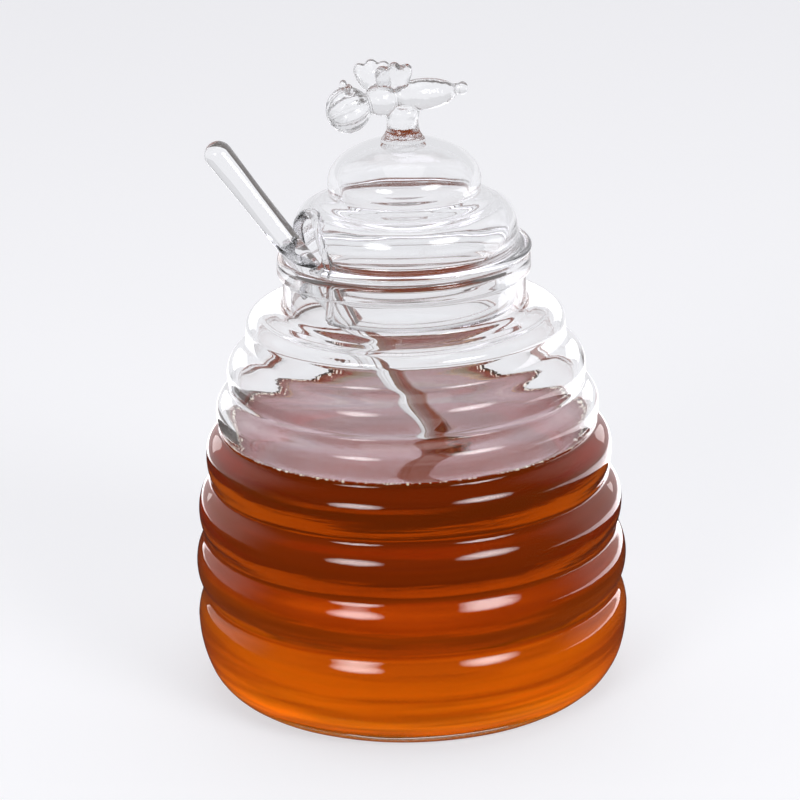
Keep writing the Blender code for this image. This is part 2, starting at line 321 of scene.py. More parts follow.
def waver(piece, size, seed, reach):
    """Pushes each point of a turned piece in or out by up to about size millimetres, in waves this long."""
    for vertex in piece.data.vertices:
        place = vertex.co / MM
        radius = math.hypot(place.x, place.y)
        if radius < STILL_RADIUS:
            continue
        sample = Vector((place.x, place.y, place.z * LONGER_UPWARDS)) / reach
        sample += Vector((seed, 0.0, radius / 3))
        push = noise.noise(sample) * size * min(1.0, (radius - STILL_RADIUS) / FADE_IN)
        vertex.co.x += place.x / radius * push * MM
        vertex.co.y += place.y / radius * push * MM


waver(jar, JAR_WAVER, seed=3.7, reach=13.0)
print("the wall wavers by up to %.2f mm" % JAR_WAVER)

# %% [markdown]
# ## The lid
#
# The lid is blown in one piece: a collar that drops into the neck, a thin flange that rests on the jar's
# lip, one full ring, a tight groove and a dome. It is hollow right up into the dome. It is drawn as the
# jar was, with one smooth line from the top of the dome down to the collar and back up the inside.

# %% Sizes and outline of the lid
SEAT = RIM_HEIGHT + 0.3
COLLAR_RADIUS = 24.6
COLLAR_BOTTOM = lid_low[2] / MM
FLANGE_RADIUS = 28.3
FLANGE_THICKNESS = 1.5
LID_WALL = 1.9
LID_RING_RADIUS = 25.2
LID_RING_HEIGHT = 106.5
LID_SHOULDER_HEIGHT = 113.8
GROOVE_RADIUS = 17.0
GROOVE_HEIGHT = 115.2
GROOVE_THROAT = 14.9
DOME_RADIUS = 17.2
DOME_MIDDLE = 117.8
DOME_RISE = 9.6
DOME_WALL = 2.0


def lid_outside():
    return smooth_line(
        [
            (DOME_RADIUS, DOME_MIDDLE),
            (GROOVE_RADIUS + 0.1, GROOVE_HEIGHT + 1.2),
            (GROOVE_RADIUS, GROOVE_HEIGHT),
            (GROOVE_RADIUS + 0.9, GROOVE_HEIGHT - 0.9),
            (LID_RING_RADIUS - 4.6, LID_SHOULDER_HEIGHT - 0.5),
            (LID_RING_RADIUS - 1.7, LID_SHOULDER_HEIGHT - 2.3),
            (LID_RING_RADIUS - 0.35, LID_SHOULDER_HEIGHT - 4.9),
            (LID_RING_RADIUS, LID_RING_HEIGHT),
            (LID_RING_RADIUS + 0.3, SEAT + FLANGE_THICKNESS + 1.0),
            (LID_RING_RADIUS + 1.2, SEAT + FLANGE_THICKNESS + 0.2),
            (FLANGE_RADIUS - 0.5, SEAT + FLANGE_THICKNESS - 0.1),
            (FLANGE_RADIUS, SEAT + FLANGE_THICKNESS / 2),
            (FLANGE_RADIUS - 0.5, SEAT + 0.05),
            (COLLAR_RADIUS + 1.1, SEAT),
            (COLLAR_RADIUS + 0.2, SEAT - 0.9),
            (COLLAR_RADIUS, SEAT - 3.0),
            (COLLAR_RADIUS, COLLAR_BOTTOM + 1.2),
            (COLLAR_RADIUS - LID_WALL / 2, COLLAR_BOTTOM),
        ],
        4,
    )


def lid_inside():
    return smooth_line(
        [
            (COLLAR_RADIUS - LID_WALL, COLLAR_BOTTOM + 1.2),
            (COLLAR_RADIUS - LID_WALL, SEAT - 2.0),
            (COLLAR_RADIUS - LID_WALL + 0.2, SEAT + 1.2),
            (LID_RING_RADIUS - LID_WALL, LID_RING_HEIGHT),
            (LID_RING_RADIUS - LID_WALL - 0.4, LID_SHOULDER_HEIGHT - 5.0),
            (LID_RING_RADIUS - LID_WALL - 2.0, LID_SHOULDER_HEIGHT - 3.1),
            (GROOVE_THROAT + 3.0, LID_SHOULDER_HEIGHT - 2.1),
            (GROOVE_THROAT + 0.5, GROOVE_HEIGHT - 1.8),
            (GROOVE_THROAT, GROOVE_HEIGHT),
            (DOME_RADIUS - DOME_WALL - 0.2, DOME_MIDDLE - 1.2),
        ],
        4,
    )


def lid_outline():
    dome = arc((0.0, DOME_MIDDLE), (DOME_RADIUS, DOME_RISE), 90, 0, 20)
    ceiling = arc((0.0, DOME_MIDDLE), (DOME_RADIUS - DOME_WALL, DOME_RISE - DOME_WALL), 0, 90, 18)
    return dome + lid_outside() + lid_inside() + ceiling + [(0.0, DOME_MIDDLE + DOME_RISE - DOME_WALL)]


lid = add_piece("glass_lid", turned_mesh("glass_lid", lid_outline(), TURN_STEPS))
waver(lid, LID_WAVER, seed=8.1, reach=10.0)
print("lid:", len(lid.data.polygons), "faces")

# %% [markdown]
# ## The notch
#
# An arched bite in the lid's side lets the dipper lean out. On the real lid its edge was melted in the
# flame, so it has drawn up into a thick round bead. Here too the bite is cut first and the edge is made
# round afterwards. The cutter is a straight bar with an arched section, and a Boolean takes it away. A
# Boolean leaves tiny slivers where faces nearly meet, and smooth glass shows them as scratches, so they
# are welded away each time.

# %% Cut the notch
NOTCH_DIRECTION = math.radians(200)
NOTCH_WIDTH = 20.0
NOTCH_TOP = 112.2
NOTCH_START = 20.5
CUT_WELD = 0.003
SLIVER = 0.001


def add_cutter(name, corners, start, end):
    """A straight bar through the lid's side, whose section is a ring of (across, height) corners."""
    bm = bmesh.new()
    ring = [bm.verts.new((start * MM, across * MM, height * MM)) for across, height in corners]
    face = bm.faces.new(ring)
    made = bmesh.ops.extrude_face_region(bm, geom=[face])
    moved = [item for item in made["geom"] if isinstance(item, bmesh.types.BMVert)]
    bmesh.ops.translate(bm, vec=((end - start) * MM, 0.0, 0.0), verts=moved)
    bmesh.ops.recalc_face_normals(bm, faces=bm.faces[:])
    mesh = bpy.data.meshes.new(name)
    bm.to_mesh(mesh)
    bm.free()
    mesh.transform(Matrix.Rotation(NOTCH_DIRECTION, 4, "Z"))
    return add_piece(name, mesh)


def boolean(piece, other, operation):
    """Joins or cuts at once, and throws the other piece away."""
    modifier = piece.modifiers.new(operation.lower(), "BOOLEAN")
    modifier.operation = operation
    modifier.object = other
    modifier.solver = "EXACT"
    bake_modifiers(piece)
    bm = bmesh.new()
    bm.from_mesh(piece.data)
    bmesh.ops.remove_doubles(bm, verts=bm.verts[:], dist=CUT_WELD * MM)
    bmesh.ops.dissolve_degenerate(bm, edges=bm.edges[:], dist=SLIVER * MM)
    bm.to_mesh(piece.data)
    bm.free()
    bpy.data.objects.remove(other, do_unlink=True)


half = NOTCH_WIDTH / 2
arch = arc((0.0, NOTCH_TOP - half), (half, half), 0, 180, 28) + [(-half, NOTCH_TOP - half)]
section = [(-half, COLLAR_BOTTOM - 2), (half, COLLAR_BOTTOM - 2)] + arch
boolean(lid, add_cutter("notch_cutter", section, NOTCH_START, FLANGE_RADIUS + 4), "DIFFERENCE")
print("notch:", len(lid.data.polygons), "faces left")

# %% [markdown]
# ## A melted edge
#
# Held in the flame, a cut edge of glass draws back and gathers into a bead that is thicker than the wall.
# A bevel could only round the edge within the wall's thickness. So the bead is a tube that follows the
# cut, on the middle of the wall, and a second Boolean fuses it to the lid.

# %% Melt its edge into a bead
BEAD_RADIUS = 1.15
BEAD_START = 1.2
LEG_POINTS = 10


def middle_of_wall(height):
    """The radius halfway through the lid's wall at this height, leaving out the flange."""
    points = [
        (COLLAR_BOTTOM, COLLAR_RADIUS),
        (SEAT, COLLAR_RADIUS),
        (LID_RING_HEIGHT, LID_RING_RADIUS),
        (LID_SHOULDER_HEIGHT - 4.9, LID_RING_RADIUS - 0.35),
        (LID_SHOULDER_HEIGHT - 2.3, LID_RING_RADIUS - 1.7),
        (LID_SHOULDER_HEIGHT - 0.9, LID_RING_RADIUS - 3.6),
    ]
    return float(np.interp(height, *zip(*points))) - LID_WALL / 2


def bead_path():
    """Up one side of the notch, over its arch and down the other side, on the middle of the wall."""
    climb = NOTCH_TOP - half - COLLAR_BOTTOM - BEAD_START
    legs = [(half, COLLAR_BOTTOM + BEAD_START + climb * i / LEG_POINTS) for i in range(LEG_POINTS)]
    other_leg = [(-across, height) for across, height in legs[::-1]]
    across_line = legs + arch[:-1] + [(-half, NOTCH_TOP - half)] + other_leg
    turn = Matrix.Rotation(NOTCH_DIRECTION, 3, "Z")
    path = []
    for across, height in across_line:
        out = max(math.sqrt(max(middle_of_wall(height) ** 2 - across**2, 0.0)), NOTCH_START)
        path.append(turn @ Vector((out, across, height)))
    return path


def square_to(direction):
    """Some direction at right angles to this one."""
    helper = Vector((0.0, 0.0, 1.0)) if abs(direction.z) < 0.9 else Vector((1.0, 0.0, 0.0))
    return direction.cross(helper).normalized()


def tube_mesh(name, path, radius, sides=14):
    """A round rod along a path in millimetres, with flat ends."""
    rings = []
    for index, point in enumerate(path):
        ahead = (path[min(index + 1, len(path) - 1)] - path[max(index - 1, 0)]).normalized()
        if rings:
            side = (side - ahead * side.dot(ahead)).normalized()
        else:
            side = square_to(ahead)
        other = ahead.cross(side)
        spokes = [math.tau * k / sides for k in range(sides)]
        rings.append([point + (side * math.cos(a) + other * math.sin(a)) * radius for a in spokes])
    points = [corner for ring in rings for corner in ring] + [path[0], path[-1]]
    faces = []
    for ring in range(len(rings) - 1):
        for k in range(sides):
            low, next_low = ring * sides + k, ring * sides + (k + 1) % sides
            faces.append((low, next_low, next_low + sides, low + sides))
    last = (len(rings) - 1) * sides
    faces += [(len(points) - 2, (k + 1) % sides, k) for k in range(sides)]
    faces += [(len(points) - 1, last + k, last + (k + 1) % sides) for k in range(sides)]
    mesh = bpy.data.meshes.new(name)
    mesh.from_pydata([point * MM for point in points], [], faces)
    return mesh


boolean(lid, add_piece("bead", tube_mesh("bead", bead_path(), BEAD_RADIUS)), "UNION")
print("bead on:", len(lid.data.polygons), "faces")

# %% [markdown]
# ## The bee
#
# The lid's knob is a short stem with a bee of melted glass on it. A glass worker builds it from hot
# drops: a round head with pleats pressed into it, a thorax, a long abdomen with a drawn-out tip, two small
# beads for feelers, and three lobes for each wing. The bee could be sculpted instead, but real drops are
# what gives it its soft lumpy look, so each drop is an ellipsoid here too. The bee is described along its
# own length, and turned to face its way only at the end.

# %% Sizes of the bee
STEM_RADIUS = 3.7
STEM_FOOT_RADIUS = 5.0
STEM_TOP = 134.6
BEE_DIRECTION = math.radians(17)
BEE_HEIGHT = 136.6
WING_ROOT = (-4.4, 1.2, 1.6)
WING_LEANS = {-1: math.radians(16), 1: math.radians(30)}
WING_SHIFTS = {-1: 1.8, 1: -1.2}
WING_FAN = math.radians(27)
WING_LOBE = (2.2, 1.25, 3.8)
PLEAT_DEPTH = 0.08


def moved_to(x, y, z):
    return Matrix.Translation((x * MM, y * MM, z * MM))


def drop(bm, place, radii, pleats=0):
    """One drop of glass in the bee's own frame, +X to its tail. Pleats pinch it all round."""
    made = bmesh.ops.create_uvsphere(bm, u_segments=32, v_segments=20, radius=1.0)
    for vertex in made["verts"]:
        co = vertex.co.copy()
        if pleats:
            turn = math.atan2(co.y, co.x)
            co.xy *= 1 + PLEAT_DEPTH * math.cos(pleats * turn)
        vertex.co = place @ Vector([value * size * MM for value, size in zip(co, radii)])

# %% [markdown]
# ## Melting the drops
#
# Drops that touch while they are hot flow into each other. The drops and the stem go into one mesh, and a
# voxel remesh makes a single skin of them. Its grain is a third of a millimetre, coarse enough to fill
# the seams a little. A few rounds of smoothing let them flow, and no more than a few, because the bee
# soon shrinks and its wings go.

# %% Melt the drops together
BEE_GRAIN = 0.32
FLOW_STRENGTH = 0.5
FLOW_ROUNDS = 3


def bee_mesh():
    bm = bmesh.new()
    drop(bm, moved_to(4.6, 0.0, 0.3), (8.3, 3.7, 3.5))
    drop(bm, moved_to(12.3, 0.0, 0.75), (2.6, 1.25, 1.25))
    drop(bm, moved_to(14.2, 0.0, 0.8), (1.2, 1.5, 1.5))
    drop(bm, moved_to(-4.8, 0.0, -0.1), (3.7, 3.6, 3.6))
    drop(bm, moved_to(-8.2, 0.0, -0.8), (2.4, 2.4, 2.4))
    face_on = moved_to(-12.4, 0.0, -1.7) @ Matrix.Rotation(math.radians(70), 4, "Y")
    drop(bm, face_on, (5.0, 4.6, 5.1), pleats=9)
    for side in (-1, 1):
        drop(bm, moved_to(-12.8, side * 2.2, 3.2), (0.95, 0.95, 1.6))
        root = moved_to(WING_ROOT[0] + WING_SHIFTS[side], side * WING_ROOT[1], WING_ROOT[2])
        root = root @ Matrix.Rotation(-side * WING_LEANS[side], 4, "X")
        for lobe in (-1, 0, 1):
            place = root @ Matrix.Rotation(lobe * WING_FAN, 4, "Y") @ moved_to(0.0, 0.0, WING_LOBE[2])
            drop(bm, place, WING_LOBE)
    mesh = bpy.data.meshes.new("bee")
    bm.to_mesh(mesh)
    bm.free()
    mesh.transform(Matrix.Rotation(BEE_DIRECTION, 4, "Z"))
    mesh.transform(moved_to(0.0, 0.0, BEE_HEIGHT))
    return mesh


dome_top = DOME_MIDDLE + DOME_RISE
stem_line = smooth_line(
    [
        (STEM_FOOT_RADIUS + 1.6, dome_top - 1.4),
        (STEM_FOOT_RADIUS + 0.3, dome_top - 0.5),
        (STEM_RADIUS + 0.2, dome_top + 1.4),
        (STEM_RADIUS - 0.2, dome_top + 3.6),
        (STEM_RADIUS + 0.1, STEM_TOP - 1.2),
        (STEM_RADIUS - 0.6, STEM_TOP),
    ],
    5,
)
stem_outline = [(0.0, dome_top - 1.4)] + stem_line + [(0.0, STEM_TOP)]

bee = add_piece("bee", bee_mesh())
stem = turned_mesh("stem", stem_outline, 48)
bm = bmesh.new()
bm.from_mesh(bee.data)
bm.from_mesh(stem)
bm.to_mesh(bee.data)
bm.free()
remesh = bee.modifiers.new("melt", "REMESH")
remesh.mode = "VOXEL"
remesh.voxel_size = BEE_GRAIN * MM
flow = bee.modifiers.new("flow", "SMOOTH")
flow.factor = FLOW_STRENGTH
flow.iterations = FLOW_ROUNDS
bake_modifiers(bee)
print("bee:", len(bee.data.polygons), "faces")

# %% [markdown]
# ## One piece of glass
#
# The stem is stuck to the dome while both are soft, so there is no face between them. Light that met one
# inside the glass would flash there. A Boolean makes the lid and the bee one skin. The lid then goes to
# where it really lies, a little off the jar's axis, because its collar has some play in the neck.

# %% Fuse the bee to the lid
boolean(lid, bee, "UNION")
lid.data.transform(moved_to(*LID_OFF_CENTRE, 0.0))
lid.data.shade_smooth()
print("lid with its bee:", len(lid.data.polygons), "faces")

# %% [markdown]
# ## The dipper
#
# The dipper is one solid rod of glass. Its upper end is melted into a round tip, and its lower end, out
# of sight in the honey, carries rings that hold the honey while it is lifted. The rod leans on the jar's
# lip in the notch. It is turned upright and then laid along its slope. It is made as two pieces that part
# just under the honey's surface, since glass in air and glass in honey bend light so differently that
# each needs a material of its own.

# %% Turn and lay the dipper
DIPPER_THROUGH = Vector((7.3, -11.5, 60.8))
DIPPER_SLOPE = Vector((-0.739, 0.134, 1.0))
DIPPER_END_HEIGHT = 21.5
DIPPER_LENGTH = 133.0
DIPPER_RADIUS = 2.85
DIPPER_TIP_RADIUS = 3.15
RIB_RADII = [6.4, 7.9, 8.6, 8.4, 7.4, 5.8]
RIB_PITCH = 4.6
RIB_GROOVE = 4.4
ROD_START = 42.5
ROD_STEPS = 48


def rod_outline(extra=0.0):
    """The part of the rod that is in the air, from just under the honey's surface up to the tip."""
    low = ROD_START - extra
    points = [
        (0.0, low),
        (DIPPER_RADIUS - 0.9 + extra, low + 0.05),
        (DIPPER_RADIUS - 0.2 + extra, low + 0.5),
        (DIPPER_RADIUS + extra, low + 1.4),
        (DIPPER_RADIUS + extra, 75.0),
        (DIPPER_RADIUS + extra, 100.0),
        (DIPPER_RADIUS + extra, DIPPER_LENGTH - 16.0),
        (DIPPER_TIP_RADIUS - 0.1 + extra, DIPPER_LENGTH - 8.0),
    ]
    tip = DIPPER_TIP_RADIUS + extra
    rounding = arc((0.0, DIPPER_LENGTH - DIPPER_TIP_RADIUS), (tip, tip), 0, 90, 10)
    return smooth_line(points, 4)[:-1] + rounding + [(0.0, DIPPER_LENGTH + extra)]


def head_outline():
    """The sunk part: the ringed head and the length of rod between it and the honey's surface."""
    points = [(0.0, 0.0), (2.6, 0.4), (RIB_GROOVE, 1.9)]
    for index, radius in enumerate(RIB_RADII):
        middle = 4.0 + index * RIB_PITCH
        points += [(radius - 0.5, middle - 1.0), (radius, middle), (radius - 0.5, middle + 1.0)]
        points.append((RIB_GROOVE, middle + RIB_PITCH / 2))
    shaft = 4.0 + len(RIB_RADII) * RIB_PITCH
    top = ROD_START - 0.4
    points += [(DIPPER_RADIUS + 0.3, shaft + 1.0), (DIPPER_RADIUS, shaft + 3.0)]
    points += [(DIPPER_RADIUS, top - 1.0), (DIPPER_RADIUS - 0.4, top - 0.1), (0.0, top)]
    return smooth_line(points, 4)


lean = Vector((0.0, 0.0, 1.0)).rotation_difference(DIPPER_SLOPE.normalized()).to_matrix().to_4x4()
foot = DIPPER_THROUGH - DIPPER_SLOPE * (DIPPER_THROUGH.z - DIPPER_END_HEIGHT)
laid = Matrix.Translation(foot * MM) @ lean
dipper = add_piece("glass_dipper", turned_mesh("glass_dipper", rod_outline(), ROD_STEPS))
waver(dipper, ROD_WAVER, seed=5.5, reach=14.0)
dipper.data.transform(laid)
head = add_piece("dipper_head", turned_mesh("dipper_head", head_outline(), ROD_STEPS))
head.data.transform(laid)
dipper_tip = laid @ Vector((0.0, 0.0, DIPPER_LENGTH * MM)) / MM
print("dipper tip at", [round(value, 1) for value in dipper_tip])

# %% [markdown]
# ## The honey
#
# Honey wets glass, so it climbs a little at the wall and round the rod. In a render, two clear things
# that only touch would leave a film of air between them, and light would flash there. So the honey
# reaches a quarter of a millimetre into the wall: light passes from glass to honey with no air between.
# It is turned like the rest, with many rings on its surface, so that the surface can be lifted where it
# meets glass.

# %% Turn the honey
INTO_GLASS = 0.25
CLIMB = 1.3
CLIMB_REACH = 1.5
SURFACE_RINGS = 60
RINGED_WIDTH = 34.0
CROWDED_TO_EDGE = 1.8
FIRST_STEP = 0.15
BELOW_CLIMB = 0.3


def honey_outline():
    depth = WALL - INTO_GLASS
    bottom = FLOOR_THICKNESS - INTO_GLASS
    bowl = bowl_line(depth, 12)
    wall = [point for point in set_in(outer_wall, depth) if point[1] < HONEY_LEVEL + CLIMB - BELOW_CLIMB]
    edge = wall[-1][0]
    surface = []
    for i in range(SURFACE_RINGS):
        inward = RINGED_WIDTH * (i / (SURFACE_RINGS - 1)) ** CROWDED_TO_EDGE
        height = HONEY_LEVEL + CLIMB * math.exp(-inward / CLIMB_REACH)
        surface.append((edge - FIRST_STEP - inward, height))
    middle = [(surface[-1][0] - step, HONEY_LEVEL) for step in (1, 2, 3, 4, 5, 6)]
    floor = [(0.0, bottom), (13.0, bottom), (26.0, bottom)]
    return floor + bowl + wall + surface + middle + [(0.0, HONEY_LEVEL)]


honey = add_piece("honey_fill", turned_mesh("honey_fill", honey_outline(), TURN_STEPS))
print("honey:", len(honey.data.polygons), "faces")

# %% [markdown]
# ## Where the rod goes in
#
# Round the rod the honey rises too, in a small cone that is steep at the glass and soon levels out. The
# points of the surface are lifted by how near they are to the rod's axis. Then the rod's own shape is cut
# out of the honey, a touch smaller than the rod, so that the two overlap here as they do at the wall.

# %% Let it climb the rod, and cut the rod's room
ROD_CLIMB = 2.2
ROD_CLIMB_REACH = 1.1
SURFACE_FROM = 0.2
EDGE_ZONE = 36.0
ROD_OVERLAP = 0.15


def climb_the_rod(piece):
    axis = DIPPER_SLOPE.normalized()
    for vertex in piece.data.vertices:
        place = vertex.co / MM
        if place.z < HONEY_LEVEL - SURFACE_FROM or math.hypot(place.x, place.y) > EDGE_ZONE:
            continue
        away = place - DIPPER_THROUGH
        gap = max((away - axis * away.dot(axis)).length - DIPPER_RADIUS, 0.0)
        vertex.co.z += ROD_CLIMB * math.exp(-gap / ROD_CLIMB_REACH) * MM


climb_the_rod(honey)
room = add_piece("dipper_room", turned_mesh("dipper_room", rod_outline(-ROD_OVERLAP), ROD_STEPS))
room.data.transform(laid)
boolean(honey, room, "DIFFERENCE")
honey.data.shade_smooth()
print("honey:", len(honey.data.polygons), "faces after the cut")

# %% [markdown]
# ## Bubbles at the honey's edge
#
# Stirred honey holds fine bubbles, and they drift to the wall and stay there in a thin uneven line,
# thicker at the sides. Each is a small ball sitting in the skin of the honey. Particles could scatter
# them, but they are one mesh here, and a seeded draw gives each ball its place and size, so that every
# run gives the same ones.

# %% Scatter the bubbles
BUBBLES = 640
BUBBLE_SEED = 11
FINE_SIZES = (0.10, 0.26)
LARGE_SIZES = (0.26, 0.42)
FINE_SHARE = 0.85
LINE_WIDTH = 0.5
CLUSTERS = 2.2
SIDE_CROWD = 0.35
LEAST_CHANCE = 0.25
CROWD_CHANCE = 1.2
FLOATS_BY = 0.2


def bubble_places(count, seed):
    """The turn, radius, height and size of each bubble, in clusters and thicker to the left and right."""
    draw = random.Random(seed)
    radii, heights = zip(*inner_wall)
    edge = float(np.interp(HONEY_LEVEL, heights, radii))
    places = []
    while len(places) < count:
        turn = draw.uniform(0, math.tau)
        sample = Vector((math.cos(turn) * CLUSTERS, math.sin(turn) * CLUSTERS, 4.0))
        crowd = noise.noise(sample) + SIDE_CROWD * abs(math.cos(turn))
        if draw.random() > LEAST_CHANCE + CROWD_CHANCE * max(crowd, 0.0):
            continue
        sizes = FINE_SIZES if draw.random() < FINE_SHARE else LARGE_SIZES
        size = draw.uniform(*sizes)
        inward = size + abs(draw.gauss(0.0, LINE_WIDTH))
        places.append((turn, edge - inward, HONEY_LEVEL + CLIMB * math.exp(-inward / CLIMB_REACH), size))
    return places


bm = bmesh.new()
for turn, radius, height, size in bubble_places(BUBBLES, BUBBLE_SEED):
    centre = Vector((radius * math.cos(turn), radius * math.sin(turn), height + size * FLOATS_BY))
    spot = Matrix.Translation(centre * MM) @ Matrix.Scale(size * MM, 4)
    bmesh.ops.create_icosphere(bm, subdivisions=2, radius=1.0, matrix=spot)
mesh = bpy.data.meshes.new("honey_bubbles")
bm.to_mesh(mesh)
bm.free()
bubbles = add_piece("honey_bubbles", mesh)
print("bubbles:", len(mesh.polygons), "faces")

# %% [markdown]
# ## Helpers for materials
#
# A material in Blender is a net of nodes. The same few nodes come back in all of them here, so each gets
# a short helper that makes it, gives it a place in the node editor and joins it up. A net can be drawn by
# hand in the editor as well, but a script shows in one place what goes into what.

# %% Node helpers
def new_material(name):
    material = bpy.data.materials.new(name)
    material.use_nodes = True
    shader = material.node_tree.nodes["Principled BSDF"]
    shader.location = (300, 0)
    return material, material.node_tree, shader


def noise_node(tree, scale, detail, where, stretch=(1.0, 1.0, 1.0)):
    """A noise in the piece's own coordinates, so that it stays on the piece wherever that goes."""
    coordinates = tree.nodes.new("ShaderNodeTexCoord")
    coordinates.location = (where[0] - 400, where[1])
    mapping = tree.nodes.new("ShaderNodeMapping")
    mapping.location = (where[0] - 200, where[1])
    mapping.inputs["Scale"].default_value = stretch
    tree.links.new(coordinates.outputs["Object"], mapping.inputs["Vector"])
    texture = tree.nodes.new("ShaderNodeTexNoise")
    texture.location = where
    texture.inputs["Scale"].default_value = scale
    texture.inputs["Detail"].default_value = detail
    tree.links.new(mapping.outputs["Vector"], texture.inputs["Vector"])
    return texture


def math_node(tree, operation, first, second, where):
    """Two numbers or sockets worked into one."""
    node = tree.nodes.new("ShaderNodeMath")
    node.operation = operation
    node.location = where
    for socket, value in zip(node.inputs, (first, second)):
        if isinstance(value, (int, float)):
            socket.default_value = value
        else:
            tree.links.new(value, socket)
    return node.outputs[0]


def map_range(tree, value, start, end, low=0.0, high=1.0, where=(-300, 0)):
    """A value that runs from start to end, turned into one that runs from low to high."""
    node = tree.nodes.new("ShaderNodeMapRange")
    node.location = where
    sockets = ("From Min", "From Max", "To Min", "To Max")
    for socket, number in zip(sockets, (start, end, low, high)):
        if isinstance(number, (int, float)):
            node.inputs[socket].default_value = number
        else:
            tree.links.new(number, node.inputs[socket])
    tree.links.new(value, node.inputs["Value"])
    return node.outputs["Result"]


def mixed_colour(tree, amount, first, second, where):
    """The first colour where the amount is 0 and the second where it is 1."""
    node = tree.nodes.new("ShaderNodeMixRGB")
    node.location = where
    tree.links.new(amount, node.inputs["Fac"])
    for socket, colour in (("Color1", first), ("Color2", second)):
        if isinstance(colour, tuple):
            node.inputs[socket].default_value = colour
        else:
            tree.links.new(colour, node.inputs[socket])
    return node.outputs["Color"]


def mixed_shader(tree, amount, first, second, where):
    """The first shader where the amount is 0 and the second where it is 1."""
    node = tree.nodes.new("ShaderNodeMixShader")
    node.location = where
    for socket, output in zip(node.inputs, (amount, first, second)):
        tree.links.new(output, socket)
    return node.outputs["Shader"]


def add_bump(tree, shader, texture, strength, distance):
    bump = tree.nodes.new("ShaderNodeBump")
    bump.location = (100, -300)
    bump.inputs["Strength"].default_value = strength
    bump.inputs["Distance"].default_value = distance
    tree.links.new(texture.outputs["Fac"], bump.inputs["Height"])
    tree.links.new(bump.outputs["Normal"], shader.inputs["Normal"])


print("helpers for noise, numbers, ranges, colours, shaders and bump")

# %% [markdown]
# ## Clear glass
#
# Clear glass is nearly all shape. The shader lets light through and bends it by the glass's own index,
# 1.47 for the kind that stands heat. One could tint it or make it glossy instead, but then it reads as
# plastic: what shows clear glass is only how it bends and mirrors the room. A slow bump stands for the
# waves that blowing leaves, and a trace of roughness comes and goes over the surface, where hands have
# touched it.

# %% Blown glass
GLASS_INDEX = 1.47
GLASS_TONE = (0.985, 0.988, 0.99, 1.0)
TOUCHED_ROUGHNESS = 0.03
NO_MIRROR = (0.0, 0.0, 0.0, 1.0)


def bare_glass(name, index=GLASS_INDEX):
    """Glass with no bump yet."""
    material, tree, shader = new_material(name)
    shader.inputs["Base Color"].default_value = GLASS_TONE
    shader.inputs["IOR"].default_value = index
    shader.inputs["Transmission Weight"].default_value = 1.0
    return material, tree, shader


def touch_marks(tree, shader):
    touched = noise_node(tree, scale=26.0, detail=2.0, where=(-300, 100))
    spread = map_range(tree, touched.outputs["Fac"], 0.55, 0.8, 0.0, TOUCHED_ROUGHNESS, (-100, 100))
    tree.links.new(spread, shader.inputs["Roughness"])


def clear_glass(name="clear_blown_glass", index=GLASS_INDEX):
    material, tree, shader = bare_glass(name, index)
    touch_marks(tree, shader)
    waves = noise_node(tree, scale=70.0, detail=1.0, where=(-300, -300), stretch=(1.0, 1.0, 0.5))
    add_bump(tree, shader, waves, strength=0.25, distance=0.06 * MM)
    return material


glass = clear_glass()
for piece in (jar, lid, dipper):
    piece.data.materials.clear()
    piece.data.materials.append(glass)
print("glass index", GLASS_INDEX)

# %% [markdown]
# ## Worked glass
#
# The bee was shaped with pincers, drop by drop, so its skin is rippled and slightly dull beside the blown
# wall. It is the same glass with a finer, deeper bump and some roughness. It goes only on the faces above
# the dome, as a second material of the lid.

# %% Bee's glass
WORKED_ROUGHNESS = 0.13


def worked_glass():
    material, tree, shader = bare_glass("worked_glass")
    shader.inputs["Roughness"].default_value = WORKED_ROUGHNESS
    pinches = noise_node(tree, scale=420.0, detail=3.0, where=(-300, -300))
    add_bump(tree, shader, pinches, strength=0.8, distance=0.5 * MM)
    return material


lid.data.materials.append(worked_glass())
for face in lid.data.polygons:
    face.material_index = int(face.center.z / MM > dome_top + 0.3)
print("faces of the bee and its stem:", sum(face.material_index for face in lid.data.polygons))

# %% [markdown]
# ## Glass with honey behind it
#
# Where honey wets the wall there is hardly a mirror left between the two, since both bend light alike.
# Blender counts each face on its own and would still mirror at both, which lays a grey veil over the
# honey. So the jar's inside faces below the honey's level get a glass whose mirror is turned off with a
# black specular tint. Its bump is drawn out sideways, which gives the fine level streaks that a ringed
# mould leaves.

# %% Wetted glass
def wetted_glass():
    material, tree, shader = bare_glass("glass_behind_honey")
    touch_marks(tree, shader)
    shader.inputs["Specular Tint"].default_value = NO_MIRROR
    streaks = noise_node(tree, scale=30.0, detail=3.0, where=(-300, -600), stretch=(0.7, 0.7, 14.0))
    add_bump(tree, shader, streaks, strength=0.6, distance=0.3 * MM)
    return material


def faces_inwards(face):
    """True on the jar's inner wall and on the top of its floor."""
    centre = face.center / MM
    outwards = Vector((centre.x, centre.y, 0.0)).normalized()
    on_floor = face.normal.z > 0.7 and centre.z < FLOOR_THICKNESS + 2
    return face.normal.dot(outwards) < 0 or on_floor


jar.data.materials.append(wetted_glass())
wet_faces = 0
for face in jar.data.polygons:
    if faces_inwards(face) and FLOOR_THICKNESS - 0.5 < face.center.z / MM < HONEY_LEVEL + 0.6:
        face.material_index = 1
        wet_faces += 1
print(wet_faces, "faces of the jar have honey behind them")

